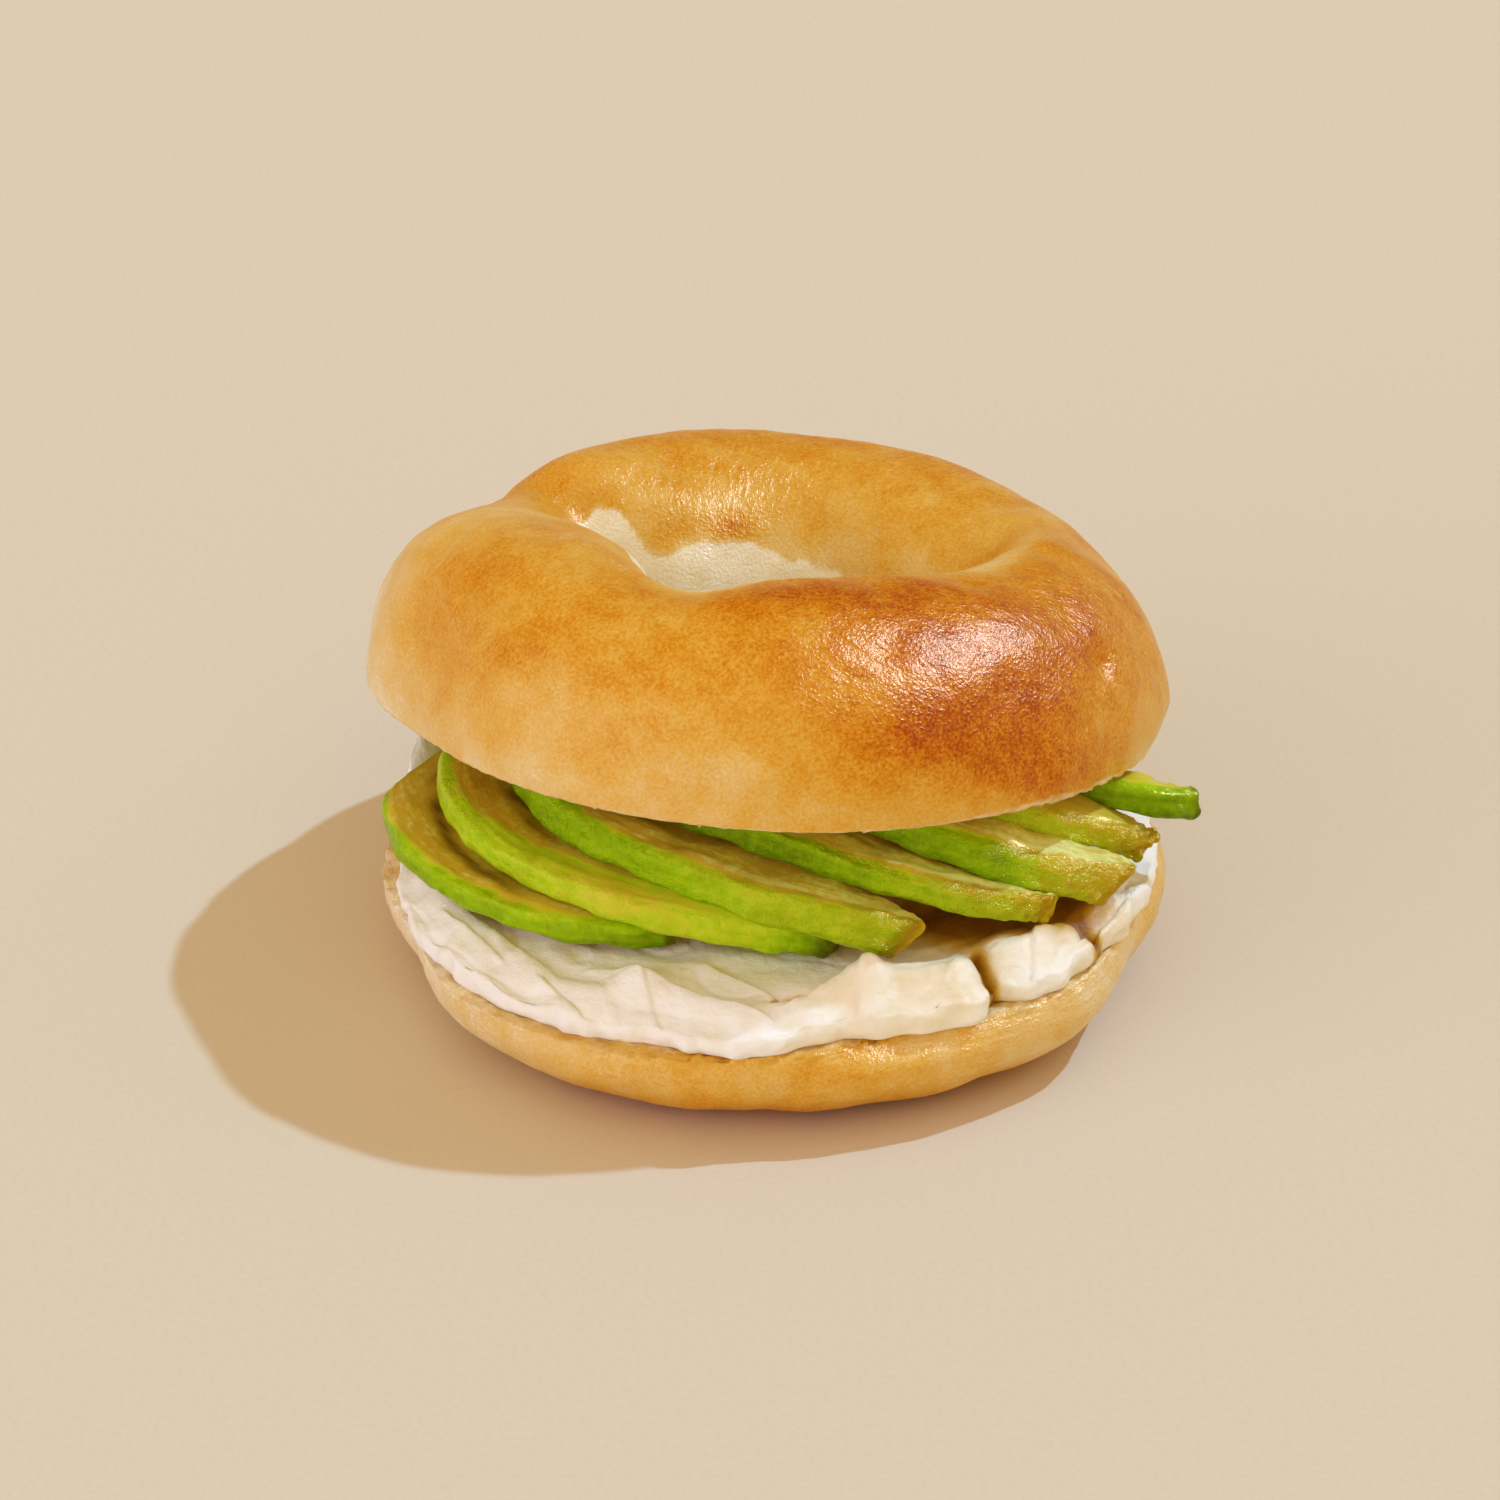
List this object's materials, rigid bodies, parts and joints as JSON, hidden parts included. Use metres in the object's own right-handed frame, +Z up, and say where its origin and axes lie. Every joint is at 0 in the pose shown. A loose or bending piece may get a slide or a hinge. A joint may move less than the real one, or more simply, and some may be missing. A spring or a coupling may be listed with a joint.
{
  "type": "bagel sandwich",
  "caption": "Cut bagel with cream cheese and a fan of avocado slices that tilts its ring-shaped top half back.",
  "frame": {"origin": "on the table under the middle of the whole sandwich's outline", "axes": "+Z up, -Y towards the front, where the slices fan out, +X to the right"},
  "size_m": [0.11, 0.1106, 0.0679],
  "materials": {
    "crust_pale": "pale golden baked crust, satin, over cream-coloured crumb",
    "cream_cheese": "moist, rough where the knife tore it",
    "avocado": "moist, green at the skin side and pale yellow on the cut faces",
    "crust": "golden brown boiled and baked crust, satin to shiny, finely blistered"
  },
  "bodies": {
    "root": {"bottom_half": "crust_pale", "cream_cheese": "cream_cheese", "avocado_slice_1": "avocado", "avocado_slice_2": "avocado", "avocado_slice_3": "avocado", "avocado_slice_4": "avocado", "avocado_slice_5": "avocado", "avocado_slice_6": "avocado", "avocado_slice_7": "avocado", "top_half": "crust"}
  },
  "joints": []
}
